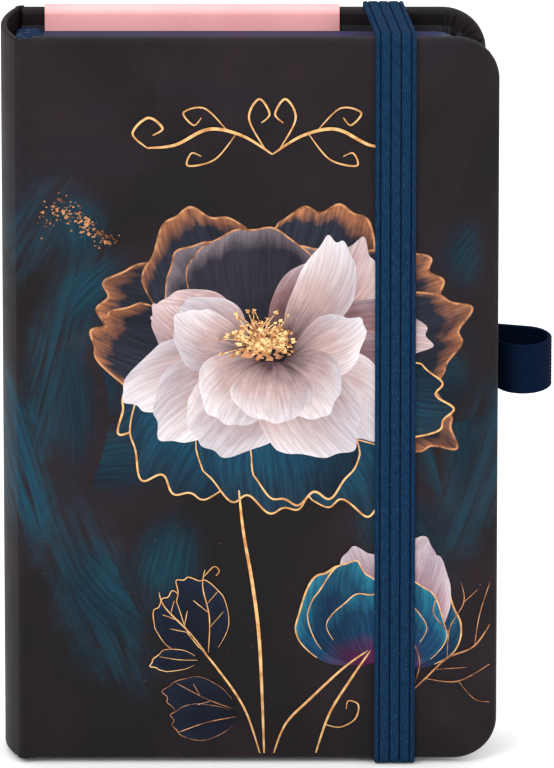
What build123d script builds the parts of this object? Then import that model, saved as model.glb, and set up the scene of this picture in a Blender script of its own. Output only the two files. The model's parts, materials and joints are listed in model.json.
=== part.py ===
from build123d import *
import math
import os

# A hard-cover pocket notebook: two covers and a rounded spine, a sewn block of paper,
# an elastic closure, a pen loop and a loose card folded over the back cover.
# All sizes are in millimetres. The notebook stands on its tail edge with the front cover
# towards -Y, the spine at -X and the head at +Z. While it is modelled, x counts from the
# hinge line of the spine, y from the middle of the thickness and z from the covers' tail.

# Covers
cover_height = 140.0
board_width = 83.7
board_thickness = 2.0
book_thickness = 18.5
corner_radius = 8.0
edge_radius = 1.0
wrap_thickness = 0.3
turn_in_width = 10.0
back_joint = 0.5
front_joint = 2.8

# Spine
spine_bulge = 3.0
stiffener_thickness = 0.6
stiffener_margin = 1.75
glue_line = 0.05
hinge_gap = 0.2

# Paper
paper_thickness = 0.15
pastedown_margin = 3.0
signature_count = 12
leaf_gap = 0.05
block_joint = 1.0
head_inset = 3.8
fore_edge_inset = 2.8
block_corner_radius = 6.5
lining_thickness = 0.3
lining_inset = 6.0
band_tab_thickness = 0.25
band_tab_length = 8.0
bead_radius = 1.1

# Elastic closure
elastic_width = 7.4
elastic_thickness = 0.9
elastic_clearance = 0.1
elastic_inset = 18.65
elastic_slant = 2.25
slot_distance = 12.0
slot_clearance = 0.1
tail_length = 12.0

# Pen loop
loop_bore_radius = 4.5
loop_wall = 0.8
loop_width = 9.5
loop_height = 74.4
loop_reach = 6.9
loop_depth = 1.0
tab_thickness = 1.2
tab_length = 9.0
tab_exit = 0.6
recess_clearance = 0.05

# Card
card_thickness = 0.35
card_width = 53.3
card_inset = 26.5
card_clearance = 0.15
card_leaf_gap = 0.1
inner_flap_length = 14.0
outer_flap_length = 60.0

# Places that follow from the sizes above
half = book_thickness / 2
board_outer = half - wrap_thickness
board_inner = board_outer - board_thickness
turn_in_face = board_inner - wrap_thickness
cover_face = turn_in_face - paper_thickness

front_board_start = front_joint
front_edge = front_board_start + board_width + wrap_thickness
back_board_start = back_joint
back_edge = back_board_start + board_width + wrap_thickness

spine_radius = (half**2 + spine_bulge**2) / (2 * spine_bulge)
spine_back = -hinge_gap - spine_bulge
spine_centre = spine_back + spine_radius

block_front = -cover_face + paper_thickness + card_clearance + leaf_gap
block_back = cover_face - card_clearance - card_thickness - card_leaf_gap - paper_thickness - leaf_gap
signature_pitch = (block_back - block_front + leaf_gap) / signature_count
signature_thickness = signature_pitch - leaf_gap
block_start = block_joint
block_edge = back_edge - fore_edge_inset
block_tail = head_inset
block_head = cover_height - head_inset

elastic_front = front_edge - elastic_inset
elastic_back = elastic_front - elastic_slant
elastic_inside = half + elastic_clearance
elastic_outside = elastic_inside + elastic_thickness
elastic_bend = edge_radius + elastic_clearance
base_height = elastic_clearance + elastic_thickness
upper_slot = cover_height - slot_distance
lower_slot = slot_distance

loop_centre = back_edge + loop_reach
tab_middle = turn_in_face + tab_thickness / 2
origin_x = (loop_centre + loop_bore_radius + loop_wall + spine_back) / 2

card_edge = back_edge - card_inset
card_start = card_edge - card_width
card_inside = cover_face - card_clearance
card_outside = half + card_clearance


def block(x0, x1, y0, y1, z0, z1):
    middle = Pos((x0 + x1) / 2, (y0 + y1) / 2, (z0 + z1) / 2)
    return middle * Box(x1 - x0, y1 - y0, z1 - z0)


def upright(outline, y0, y1):
    """An outline drawn in x and z, as a plate from y0 to y1."""
    return Rot(90, 0, 0) * Pos(0, 0, -y1) * extrude(outline, y1 - y0)


def leaf(x0, x1, z0, z1, corner, y0, y1):
    """A plate whose two fore-edge corners are rounded."""
    outline = Pos((x0 + x1) / 2, (z0 + z1) / 2) * Rectangle(x1 - x0, z1 - z0)
    outline = fillet(outline.vertices().group_by(Axis.X)[-1], corner)
    return upright(outline, y0, y1)


def soften(plate, x0, radius):
    """Rounds a plate's rims on both faces, but not its edge at x0."""
    rims = [
        e
        for side in (0, -1)
        for e in plate.edges().group_by(Axis.Y)[side]
        if e.center().X > x0 + radius
    ]
    return fillet(rims, radius)


def across(outline, x0, x1):
    """An outline drawn in y and z, as a strip from x0 to x1."""
    return Plane.YZ.offset(x0) * extrude(outline, x1 - x0)


def on_back(shape):
    """A piece drawn for the front cover, turned over to the back cover."""
    return mirror(shape, Plane.XZ)


def board(start):
    width_end = start + board_width
    z0 = wrap_thickness
    z1 = cover_height - wrap_thickness
    corner = corner_radius - wrap_thickness
    plate = leaf(start, width_end, z0, z1, corner, -board_outer, -board_inner)
    return soften(plate, start, edge_radius - wrap_thickness)


def wrap(start, edge, sheet):
    """The cover material: an outer face, its turned-in edges and the strip at the joint."""
    shell = leaf(start, edge, 0, cover_height, corner_radius, -half, -turn_in_face)
    shell = soften(shell, start, edge_radius)
    joint = block(hinge_gap, start + edge_radius, -half, -board_outer, 0, cover_height)
    z0 = turn_in_width
    z1 = cover_height - turn_in_width
    window = block(start - 1, edge - turn_in_width, -board_inner, -turn_in_face + 1, z0, z1)
    return shell + joint - sheet - window


def pastedown(start, edge):
    """The endpaper glued inside a cover, which dips between the turned-in edges."""
    x1 = edge - pastedown_margin
    z0 = pastedown_margin
    z1 = cover_height - pastedown_margin
    corner = corner_radius - pastedown_margin
    sheet = leaf(start, x1, z0, z1, corner, -turn_in_face, -cover_face)
    dip_x = edge - turn_in_width
    dip_z = turn_in_width
    dip = block(start, dip_x, -board_inner, -cover_face, dip_z, cover_height - dip_z)
    inside = block(
        start - 1,
        dip_x - paper_thickness,
        -board_inner + paper_thickness,
        -cover_face + 1,
        dip_z + paper_thickness,
        cover_height - dip_z - paper_thickness,
    )
    return sheet + dip - inside


def page(y0, y1):
    return leaf(block_start, block_edge, block_tail, block_head, block_corner_radius, y0, y1)


def signature(index):
    """One folded section, rounded along its fold."""
    y0 = block_front + index * signature_pitch
    section = page(y0, y0 + signature_thickness)
    fold = section.edges().filter_by(Axis.Z).group_by(Axis.X)[0]
    return fillet(fold, signature_thickness * 0.4)


def spine_strip(outer_radius, thickness, reach, z0, z1):
    """A curved strip that is concentric with the spine, out to y = reach each side."""
    ring = Circle(outer_radius) - Circle(outer_radius - thickness)
    width = spine_centre - hinge_gap
    ring = Pos(spine_centre, 0) * ring
    side = Pos(-hinge_gap - width, 0) * Rectangle(2 * width, 2 * reach)
    return Pos(0, 0, z0) * extrude(ring & side, z1 - z0)


def spine_wrap():
    return spine_strip(spine_radius, wrap_thickness, half, 0, cover_height)


def spine_stiffener():
    reach = half - stiffener_margin
    radius = spine_radius - wrap_thickness - glue_line
    z1 = cover_height - wrap_thickness
    return spine_strip(radius, stiffener_thickness, reach, wrap_thickness, z1)


def spine_lining():
    z0 = block_tail + lining_inset
    z1 = block_head - lining_inset
    return block(block_start - lining_thickness, block_start, block_front, block_back, z0, z1)


def end_band(z_end, outward):
    """A band at the head or tail of the block: a bead with a tab glued to the lining."""
    x1 = block_start - lining_thickness
    x0 = x1 - band_tab_thickness
    z_bead = z_end + outward * bead_radius
    z_tab = z_bead - outward * band_tab_length
    tab = block(x0, x1, block_front, block_back, min(z_bead, z_tab), max(z_bead, z_tab))
    length = block_back - block_front
    bead = Rot(90, 0, 0) * Cylinder(bead_radius, length)
    return tab + Pos(x0 + bead_radius, (block_front + block_back) / 2, z_bead) * bead


def ring_outline(y0, y1, z0, z1, radius):
    """A rectangle in y and z with four equal round corners."""
    middle = Pos((y0 + y1) / 2, (z0 + z1) / 2)
    return middle * RectangleRounded(y1 - y0, z1 - z0, radius)


def elastic_ring(x_centre):
    low = -elastic_clearance
    high = cover_height + elastic_clearance
    inside = ring_outline(-elastic_inside, elastic_inside, low, high, elastic_bend)
    outside = ring_outline(
        -elastic_outside,
        elastic_outside,
        low - elastic_thickness,
        high + elastic_thickness,
        elastic_bend + elastic_thickness,
    )
    x0 = x_centre - elastic_width / 2
    return across(outside - inside, x0, x0 + elastic_width)


def elastic_run(z0):
    """The slanted run of the band over the head or under the tail."""
    y = elastic_inside - elastic_bend
    side = elastic_width / 2
    corners = [
        (elastic_front - side, -y),
        (elastic_front + side, -y),
        (elastic_back + side, y),
        (elastic_back - side, y),
    ]
    return Pos(0, 0, z0) * extrude(make_face(Polyline(corners, close=True)), elastic_thickness)


def elastic_band():
    """The free part of the closure, from one slot round the front to the other slot."""
    y = elastic_inside - elastic_bend
    low = -base_height - 1
    high = cover_height + base_height + 1
    wide = elastic_width + elastic_slant
    front = elastic_ring(elastic_front)
    front &= block(elastic_front - wide, elastic_front + wide, -elastic_outside - 1, -y, low, high)
    back = elastic_ring(elastic_back)
    back &= block(elastic_back - wide, elastic_back + wide, y, elastic_outside + 1, low, high)
    foot = elastic_thickness / 2
    z0 = lower_slot + foot
    z1 = upper_slot - foot
    back -= block(elastic_back - wide, elastic_back + wide, y, elastic_outside + 1, z0, z1)
    band = front + back + elastic_run(cover_height + elastic_clearance) + elastic_run(-base_height)
    for z in (lower_slot, upper_slot):
        x0 = elastic_back - elastic_width / 2
        band += block(x0, x0 + elastic_width, half, elastic_outside, z - foot, z + foot)
    return band


def tail_shape(z_slot, inward, clearance):
    """The glued end of the elastic: through its slot, then flat against the board."""
    x0 = elastic_back - elastic_width / 2 - clearance
    x1 = elastic_back + elastic_width / 2 + clearance
    side = elastic_thickness / 2 + clearance
    passage = block(x0, x1, board_inner, half, z_slot - side, z_slot + side)
    z_end = z_slot + inward * (tail_length + clearance)
    z_near = z_slot - inward * side
    flat_top = board_inner + elastic_thickness + clearance
    flat = block(x0, x1, board_inner, flat_top, min(z_end, z_near), max(z_end, z_near))
    return passage + flat


def loop_tab(clearance):
    x0 = back_edge - tab_length - clearance
    x1 = back_edge + tab_exit * 2
    y1 = turn_in_face + tab_thickness + clearance
    side = loop_width / 2 + clearance
    return block(x0, x1, turn_in_face, y1, loop_height - side, loop_height + side)


def teardrop(radius, tip_inset):
    """A circle drawn out to a point at the tab."""
    dx = back_edge + tab_exit - loop_centre
    dy = tab_middle - loop_depth
    distance = math.hypot(dx, dy)
    toward = math.atan2(dy, dx)
    tip_distance = distance - tip_inset
    opening = math.acos(radius / tip_distance)
    sides = [toward - opening, toward + opening]
    touch = [(radius * math.cos(a), radius * math.sin(a)) for a in sides]
    tip = (tip_distance * math.cos(toward), tip_distance * math.sin(toward))
    point = make_face(Polyline([(0, 0), touch[0], tip, touch[1]], close=True))
    return Pos(loop_centre, loop_depth) * (Circle(radius) + point)


def pen_loop():
    outer = loop_bore_radius + loop_wall
    reach = math.hypot(back_edge + tab_exit - loop_centre, tab_middle - loop_depth)
    ring = teardrop(outer, 0) - teardrop(loop_bore_radius, loop_wall * reach / outer)
    ribbon = Pos(0, 0, loop_height - loop_width / 2) * extrude(ring, loop_width)
    return ribbon + loop_tab(0)


def info_card():
    """A card folded over the head of the back cover, with a short flap inside it."""
    y0 = card_inside - card_thickness
    y1 = card_outside + card_thickness
    z_low = cover_height - outer_flap_length
    z_inside = cover_height + card_clearance
    z_high = z_inside + card_thickness
    bend = edge_radius + card_clearance
    outer = Pos((y0 + y1) / 2, (z_low + z_high) / 2) * Rectangle(y1 - y0, z_high - z_low)
    outer = fillet(outer.vertices().group_by(Axis.Y)[-1], bend + card_thickness)
    width = card_outside - card_inside
    inner = Pos(card_inside + width / 2, (z_low + z_inside) / 2 - 1)
    inner = inner * Rectangle(width, z_inside - z_low + 2)
    inner = fillet(inner.vertices().group_by(Axis.Y)[-1], bend)
    card = across(outer - inner, card_start, card_edge)
    spare_top = cover_height - inner_flap_length
    return card - block(card_start, card_edge, y0 - 1, card_inside, z_low - 1, spare_top)


def save(node, shape):
    placed = Pos(-origin_x, 0, base_height) * shape
    export_step(placed, f"parts/{node}.step")


def main():
    os.makedirs("parts", exist_ok=True)

    front_sheet = board(front_board_start)
    save("front_board", front_sheet)
    save("front_wrap", wrap(front_board_start, front_edge, front_sheet))
    save("front_pastedown", pastedown(front_board_start, front_edge))

    slots = tail_shape(upper_slot, -1, slot_clearance) + tail_shape(lower_slot, 1, slot_clearance)
    recess = loop_tab(recess_clearance)
    back_sheet = on_back(board(back_board_start))
    back_skin = wrap(back_board_start, back_edge, board(back_board_start))
    save("back_board", back_sheet - slots - recess)
    save("back_wrap", on_back(back_skin) - slots - recess)
    save("back_pastedown", on_back(pastedown(back_board_start, back_edge)))

    save("spine_wrap", spine_wrap())
    save("spine_stiffener", spine_stiffener())
    save("spine_lining", spine_lining())
    save("head_band", end_band(block_head, 1))
    save("tail_band", end_band(block_tail, -1))

    save("front_flyleaf", page(block_front - leaf_gap - paper_thickness, block_front - leaf_gap))
    save("back_flyleaf", page(block_back + leaf_gap, block_back + leaf_gap + paper_thickness))
    for index in range(signature_count):
        save(f"signature_{index + 1:02d}", signature(index))

    save("elastic_band", elastic_band())
    save("elastic_tail_upper", tail_shape(upper_slot, -1, 0))
    save("elastic_tail_lower", tail_shape(lower_slot, 1, 0))
    save("pen_loop", pen_loop())
    save("info_card", info_card())


main()
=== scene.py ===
import bpy
import json
import math
import random
from math import cos, pi, radians, sin
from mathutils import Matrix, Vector


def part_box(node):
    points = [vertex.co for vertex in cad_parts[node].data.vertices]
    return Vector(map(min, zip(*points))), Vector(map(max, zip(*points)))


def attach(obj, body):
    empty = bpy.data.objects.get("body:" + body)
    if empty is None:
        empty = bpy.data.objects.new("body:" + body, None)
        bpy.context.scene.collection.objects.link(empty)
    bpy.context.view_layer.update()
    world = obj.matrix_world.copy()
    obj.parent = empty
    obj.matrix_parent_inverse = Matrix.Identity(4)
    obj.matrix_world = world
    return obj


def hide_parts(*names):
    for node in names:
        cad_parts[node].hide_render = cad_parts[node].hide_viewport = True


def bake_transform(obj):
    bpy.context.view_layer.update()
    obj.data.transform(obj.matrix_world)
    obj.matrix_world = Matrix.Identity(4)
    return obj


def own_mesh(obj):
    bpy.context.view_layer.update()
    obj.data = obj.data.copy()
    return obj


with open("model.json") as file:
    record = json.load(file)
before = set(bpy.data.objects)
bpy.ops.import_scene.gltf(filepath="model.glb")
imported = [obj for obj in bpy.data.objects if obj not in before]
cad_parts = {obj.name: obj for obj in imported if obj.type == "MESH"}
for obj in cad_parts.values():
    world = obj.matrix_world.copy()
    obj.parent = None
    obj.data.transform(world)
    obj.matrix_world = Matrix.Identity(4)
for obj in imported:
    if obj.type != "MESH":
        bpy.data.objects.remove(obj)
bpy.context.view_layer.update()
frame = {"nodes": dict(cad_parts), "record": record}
mm = 0.001

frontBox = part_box("front_wrap")
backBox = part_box("back_wrap")
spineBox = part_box("spine_wrap")
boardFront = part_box("front_board")
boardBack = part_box("back_board")
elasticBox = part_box("elastic_band")
faceY = frontBox[0][1]          # outer face of the front cover
coverLow, coverHigh = frontBox[0][2], frontBox[1][2]
foreEdge = frontBox[1][0]


# Materials

def newMaterial(name, roughness=0.6, **sockets):
    mat = bpy.data.materials.new(name)
    mat.use_nodes = True
    shader = mat.node_tree.nodes["Principled BSDF"]
    shader.inputs["Roughness"].default_value = roughness
    for socket, value in sockets.items():
        shader.inputs[socket.replace("_", " ")].default_value = value
    return mat, mat.node_tree, shader


def feed(tree, socket, value):
    if isinstance(value, bpy.types.NodeSocket):
        tree.links.new(value, socket)
    else:
        socket.default_value = value


def node(tree, kind, inputs=None, **settings):
    made = tree.nodes.new("ShaderNode" + kind)
    for key, value in settings.items():
        setattr(made, key, value)
    for key, value in (inputs or {}).items():
        feed(tree, made.inputs[key], value)
    return made


def colour(r, g, b):
    return (r, g, b, 1.0)


def ramp(tree, fac, stops):
    made = node(tree, "ValToRGB", {"Fac": fac})
    band = made.color_ramp
    while len(band.elements) < len(stops):
        band.elements.new(0.5)
    for element, (spot, value) in zip(band.elements, stops):
        element.position = spot
        element.color = value
    return made.outputs["Color"]


def grey(tree, fac, low, high):
    span = {"Value": fac, "From Min": low, "From Max": high}
    return node(tree, "MapRange", span, interpolation_type="SMOOTHSTEP").outputs["Result"]


def sums(tree, kind, a, b=0.0):
    return node(tree, "Math", {0: a, 1: b}, operation=kind).outputs[0]


def times(tree, a, b):
    return sums(tree, "MULTIPLY", a, b)


def plus(tree, a, b):
    return sums(tree, "ADD", a, b)


def minus(tree, a, b):
    return sums(tree, "SUBTRACT", a, b)


def mixed(tree, fac, a, b, how="MIX"):
    return node(tree, "Mix", {0: fac, 6: a, 7: b}, data_type="RGBA", blend_type=how).outputs[2]


def cuts(tree, vector):
    return node(tree, "SeparateXYZ", {"Vector": vector}).outputs


def scaled(tree, vector, scale):
    return node(tree, "Mapping", {"Vector": vector, "Scale": scale}).outputs[0]


def place(tree):
    return node(tree, "TexCoord").outputs["Object"]


def noise(tree, vector, scale, detail=3.0, rough=0.55, twist=0.0):
    grain = {"Vector": vector, "Scale": scale, "Detail": detail, "Roughness": rough, "Distortion": twist}
    return node(tree, "TexNoise", grain).outputs[0]


def bumped(tree, shader, height, strength, depth, under=None):
    made = node(tree, "Bump", {"Height": height, "Strength": strength, "Distance": depth})
    if under is not None:
        tree.links.new(under, made.inputs["Normal"])
    tree.links.new(made.outputs[0], shader.inputs["Normal"])
    return made.outputs[0]


def finished(mat, tree, shader, tone, height, strength, depth):
    tree.links.new(tone, shader.inputs["Base Color"])
    bumped(tree, shader, height, strength, depth)
    return mat


skinLook = {
    "base": colour(0.0070, 0.0053, 0.0062),
    "warm": colour(0.0145, 0.0088, 0.0120),
    "cool": colour(0.0050, 0.0080, 0.0140),
    "dust": colour(0.06, 0.055, 0.06),
    "roughness": 0.58,
    "teal": colour(0.0035, 0.046, 0.078),
    "swooshes": (   # centre x and z, half width and height in metres, lean in degrees, strength
        (-0.0480, 0.061, 0.0065, 0.024, -16, 0.95),
        (-0.0390, 0.083, 0.0075, 0.030, 14, 0.60),
        (-0.0330, 0.034, 0.0100, 0.024, -22, 0.65),
        (0.0370, 0.058, 0.0080, 0.024, 18, 0.55),
        (-0.0440, 0.104, 0.0080, 0.014, 30, 0.45),
    ),
}


def skinColour(tree):
    spot = place(tree)
    cloud = noise(tree, spot, 26.0, 4.0, 0.6, 0.6)
    tone = mixed(tree, grey(tree, cloud, 0.42, 0.66), skinLook["base"], skinLook["warm"])
    cool = noise(tree, spot, 17.0, 3.0, 0.5, 1.2)
    tone = mixed(tree, grey(tree, cool, 0.52, 0.75), tone, skinLook["cool"])
    ripple = noise(tree, spot, 75.0, 4.0, 0.6, 1.5)
    depth = cuts(tree, spot)[1]
    front = grey(tree, depth, 0.004, -0.006)
    for x, z, wide, tall, lean, strength in skinLook["swooshes"]:
        own = node(tree, "Mapping", {"Vector": spot, "Location": (x, 0, z), "Scale": (wide, 1000.0, tall),
                                     "Rotation": (0, radians(lean), 0)}, vector_type="TEXTURE")
        away = node(tree, "VectorMath", {0: own.outputs[0]}, operation="LENGTH").outputs["Value"]
        away = plus(tree, away, times(tree, minus(tree, ripple, 0.5), 1.1))
        long = node(tree, "Mapping", {"Vector": own.outputs[0], "Location": (x * 900, 0, 0),
                                      "Scale": (4.5, 1.0, 0.7)}).outputs[0]
        stroke = grey(tree, noise(tree, long, 1.6, 4.0, 0.6, 0.9), 0.30, 0.66)
        seen = times(tree, grey(tree, away, 1.05, 0.30), times(tree, front, strength))
        seen = times(tree, seen, stroke)
        tone = mixed(tree, seen, tone, skinLook["teal"])
    fleck = grey(tree, noise(tree, spot, 2600.0, 1.0), 0.745, 0.80)
    return mixed(tree, fleck, tone, skinLook["dust"])


def skinFinish(tree, shader):
    spot = place(tree)
    grain = noise(tree, spot, 3800.0, 2.0)
    soft = noise(tree, spot, 160.0, 2.0)
    worn = node(tree, "MapRange", {"Value": soft, "To Min": skinLook["roughness"] - 0.06,
                                   "To Max": skinLook["roughness"] + 0.08})
    tree.links.new(worn.outputs[0], shader.inputs["Roughness"])
    wide = bumped(tree, shader, soft, 0.25, 0.00012)
    bumped(tree, shader, grain, 0.22, 0.00003, wide)


def coverSkin():
    mat, tree, shader = newMaterial("softTouchSkin", 0.5, Specular_IOR_Level=0.12)
    tree.links.new(skinColour(tree), shader.inputs["Base Color"])
    skinFinish(tree, shader)
    return mat


def paintedPetal(name, *tones, shade=0.5, streak=0.5, glow=0.62, fade=None):
    baseTone, midTone, tipTone = (colour(*tone) for tone in tones)
    mat, tree, shader = newMaterial(name, 0.5, Specular_IOR_Level=0.12)
    uv = node(tree, "UVMap", uv_map="petal").outputs[0]
    own = node(tree, "UVMap", uv_map="vary").outputs[0]
    cut = cuts(tree, uv)
    ownCut = cuts(tree, own)
    away = sums(tree, "ABSOLUTE", minus(tree, cut[0], 0.5))
    shift = node(tree, "VectorMath", {0: uv, 1: own}, operation="ADD").outputs[0]
    long = scaled(tree, shift, (30.0, 2.2, 1.0))
    broad = scaled(tree, shift, (4.0, 2.6, 1.0))
    vein = noise(tree, long, 1.0, 3.0, 0.6)
    wash = noise(tree, broad, 1.0, 3.0, 0.6, 0.8)
    edge = times(tree, sums(tree, "POWER", times(tree, away, 2.0), 3.0), 0.85)
    edge = times(tree, edge, grey(tree, cut[1], 0.1, 0.8))
    along = sums(tree, "MAXIMUM", cut[1], edge)
    along = plus(tree, along, times(tree, minus(tree, wash, 0.5), 0.40))
    tone = ramp(tree, along, [(0.04, baseTone), (0.45, midTone), (glow, midTone), (1.0, tipTone)])
    veins = grey(tree, vein, 0.36, 0.66)
    dark = mixed(tree, 1.0, tone, colour(0.45, 0.42, 0.5), "MULTIPLY")
    weight = times(tree, minus(tree, 1.0, veins), streak)
    tone = mixed(tree, weight, tone, dark)
    side = sums(tree, "PINGPONG", plus(tree, times(tree, cut[0], 0.9), ownCut[0]), 1.0)
    deep = mixed(tree, 1.0, tone, colour(0.30, 0.27, 0.36), "MULTIPLY")
    tone = mixed(tree, times(tree, grey(tree, side, 0.35, 1.0), shade), tone, deep)
    if fade:
        rim = grey(tree, away, 0.50, 0.12)
        ends = times(tree, grey(tree, cut[1], 0.02, 0.4), grey(tree, cut[1], 1.0, 0.55))
        seen = times(tree, times(tree, rim, ends), fade)
        across = cuts(tree, place(tree))[0]
        spineSide = grey(tree, across, boardFront[0][0] + 1.0 * mm, boardFront[0][0] + 9.0 * mm)
        foreSide = grey(tree, across, foreEdge - 1.5 * mm, foreEdge - 7.0 * mm)
        seen = times(tree, seen, times(tree, spineSide, foreSide))
        tone = mixed(tree, seen, skinColour(tree), tone)
    tree.links.new(tone, shader.inputs["Base Color"])
    skinFinish(tree, shader)
    return mat


def foil(name, tone, deep, scale=420.0):
    mat, tree, shader = newMaterial(name, 0.3, Metallic=0.85)
    spot = place(tree)
    cloud = grey(tree, noise(tree, spot, scale, 3.0), 0.35, 0.62)
    fine = noise(tree, spot, 2400.0, 2.0)
    return finished(mat, tree, shader, mixed(tree, cloud, colour(*deep), colour(*tone)), fine, 0.3, 0.00003)


def paperLook(name, tone, ruling=0.0):
    mat, tree, shader = newMaterial(name, 0.85)
    spot = place(tree)
    fibre = noise(tree, spot, 900.0, 4.0)
    worn = colour(tone[0] * 0.95, tone[1] * 0.94, tone[2] * 0.92)
    body = mixed(tree, grey(tree, fibre, 0.3, 0.7), tone, worn)
    if ruling:
        high = cuts(tree, spot)[2]
        step = sums(tree, "FRACT", times(tree, high, 1.0 / ruling))
        rule = grey(tree, sums(tree, "ABSOLUTE", minus(tree, step, 0.5)), 0.022, 0.012)
        body = mixed(tree, times(tree, rule, 0.75), body, colour(0.42, 0.42, 0.50))
    return finished(mat, tree, shader, body, fibre, 0.15, 0.00004)


def paintedEdge():
    mat, tree, shader = newMaterial("paintedEdge", 0.62, Specular_IOR_Level=0.05)
    spot = place(tree)
    across = cuts(tree, spot)[0]
    drift = noise(tree, spot, 60.0, 3.0)
    # The navy is the sprayed edge's own colour. Its shift across the block, teal at both ends and purple in
    # the middle, is painted reflection.
    reflectionAcross = plus(tree, across, times(tree, minus(tree, drift, 0.5), 0.05))
    reflectionAcross = node(tree, "MapRange", {"Value": reflectionAcross, "From Min": -0.045, "From Max": 0.036}).outputs[0]
    tone = ramp(tree, reflectionAcross, [(0.0, colour(0.002, 0.014, 0.060)), (0.2, colour(0.010, 0.011, 0.072)),
                              (0.45, colour(0.027, 0.012, 0.078)), (0.75, colour(0.015, 0.011, 0.078)),
                              (0.93, colour(0.010, 0.018, 0.090)), (1.0, colour(0.002, 0.032, 0.075))])
    # Dark streaks along the leaves: painted shade in the gaps between the leaves.
    streaks = scaled(tree, spot, (1.0, 40.0, 1.0))
    leafLine = noise(tree, streaks, 260.0, 2.0)
    between = times(tree, grey(tree, leafLine, 0.35, 0.65), 0.4)
    tone = mixed(tree, between, tone, colour(0.012, 0.012, 0.04))
    return finished(mat, tree, shader, tone, leafLine, 0.2, 0.00004)


def wovenTape(name, dark, light, pitch, fleckTone, stretch):
    mat, tree, shader = newMaterial(name, 0.85, Specular_IOR_Level=0.04)
    # the map runs across and along the tape, in units of the thread pitch
    uv = node(tree, "UVMap", uv_map="weave").outputs[0]
    cut = cuts(tree, uv)
    rowHigh = sums(tree, "SINE", times(tree, cut[1], 2 * pi))
    turn = sums(tree, "SINE", times(tree, cut[0], 2 * pi))
    weave = times(tree, rowHigh, turn)
    stretched = scaled(tree, uv, stretch)
    thread = noise(tree, stretched, 1.7, 4.0, 0.7)
    # The tone follows the weave's height. Lighter on the crossings and darker in the hollows between them is
    # painted shade. The thread noise is the yarn's own uneven tone.
    high = plus(tree, times(tree, weave, 0.42), times(tree, thread, 1.2))
    tone = mixed(tree, grey(tree, high, 0.22, 0.95), colour(*dark), colour(*light))
    fleck = grey(tree, noise(tree, uv, 1.35, 2.0, 0.6), 0.63, 0.71)
    tone = mixed(tree, times(tree, fleck, 0.75), tone, colour(*fleckTone))
    return finished(mat, tree, shader, tone, high, 0.55, pitch * 0.25)


# Meshes

def makePiece(name, verts, faces, body, mats, replaced=(), maps=None, faceMats=None, smooth=True, auto=None):
    mesh = bpy.data.meshes.new(name)
    mesh.from_pydata([tuple(v) for v in verts], [], faces)
    for mat in mats:
        mesh.materials.append(mat)
    for mapName, values in (maps or {}).items():
        layer = mesh.uv_layers.new(name=mapName)
        for loop in mesh.loops:
            layer.data[loop.index].uv = values[loop.vertex_index]
    if faceMats:
        mesh.polygons.foreach_set("material_index", faceMats)
    mesh.polygons.foreach_set("use_smooth", [smooth] * len(mesh.polygons))
    mesh.validate()
    mesh.update()
    piece = bpy.data.objects.new(name, mesh)
    bpy.context.scene.collection.objects.link(piece)
    if auto:
        mesh.set_sharp_from_angle(angle=radians(auto))
    if body:
        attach(piece, body)
    if replaced:
        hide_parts(*replaced)
    return piece


def gridFaces(rows, cols, closedRows=False, flip=False):
    faces = []
    for i in range(rows if closedRows else rows - 1):
        for j in range(cols - 1):
            a, b = i * cols + j, ((i + 1) % rows) * cols + j
            face = (a, b, b + 1, a + 1)
            faces.append(face[::-1] if flip else face)
    return faces


def smoothStep(t):
    t = min(1.0, max(0.0, t))
    return t * t * (3 - 2 * t)


def quarter(steps):
    return [pi / 2 * k / steps for k in range(steps + 1)]


def sweptFaces(stations, n):
    faces = []
    for i in range(stations - 1):
        for j in range(n):
            a, b = i * n + j, i * n + (j + 1) % n
            faces.append((a, b, b + n, a + n))
    return faces + [tuple(reversed(range(n))), tuple(range(stations * n - n, stations * n))]


def normalAt(path, k):
    ahead = (Vector(path[min(len(path) - 1, k + 1)]) - Vector(path[max(0, k - 1)])).normalized()
    return Vector((-ahead.y, ahead.x))


print("materials and helpers ready")

# Camera and light

cameraSet = {"elevation": 21.1, "distance": 2.8, "across": 0.1005, "aimX": -0.00006, "aimZ": 0.0746}


def makeCamera():
    data = bpy.data.cameras.new("camera")
    data.sensor_fit = "HORIZONTAL"
    data.sensor_width = 36.0
    data.lens = 36.0 * cameraSet["distance"] / cameraSet["across"]
    data.clip_end = 50.0
    camera = bpy.data.objects.new("camera", data)
    bpy.context.scene.collection.objects.link(camera)
    tilt = radians(cameraSet["elevation"])
    aim = Vector((cameraSet["aimX"], faceY, cameraSet["aimZ"]))
    camera.location = aim + cameraSet["distance"] * Vector((0, -cos(tilt), sin(tilt)))
    camera.rotation_euler = (radians(90) - tilt, 0, 0)
    bpy.context.scene.camera = camera


lights = {   # size, power, place and aim in metres
    "keyLight": (0.9, 15.5, (-0.75, -1.1, 1.25)),
    "fillLight": (1.1, 6.5, (1.1, -1.0, 0.75)),
    "topLight": (0.9, 7.0, (0.1, 0.35, 1.5)),
}


def makeLights():
    for name, (size, power, spot) in lights.items():
        data = bpy.data.lights.new(name, "AREA")
        data.size = size
        data.energy = power
        lamp = bpy.data.objects.new(name, data)
        lamp.location = spot
        lamp.rotation_euler = (Vector((0, 0, 0.07)) - Vector(spot)).to_track_quat("-Z", "Y").to_euler()
        bpy.context.scene.collection.objects.link(lamp)
    world = bpy.data.worlds.new("studio")
    world.use_nodes = True
    world.node_tree.nodes["Background"].inputs["Color"].default_value = (1, 1, 1, 1)
    world.node_tree.nodes["Background"].inputs["Strength"].default_value = 1.0
    bpy.context.scene.world = world
    bpy.context.scene.view_settings.view_transform = "Standard"


floorSet = {"half": 6.0, "tone": (0.93, 0.93, 0.93, 1), "roughness": 0.9}


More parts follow.
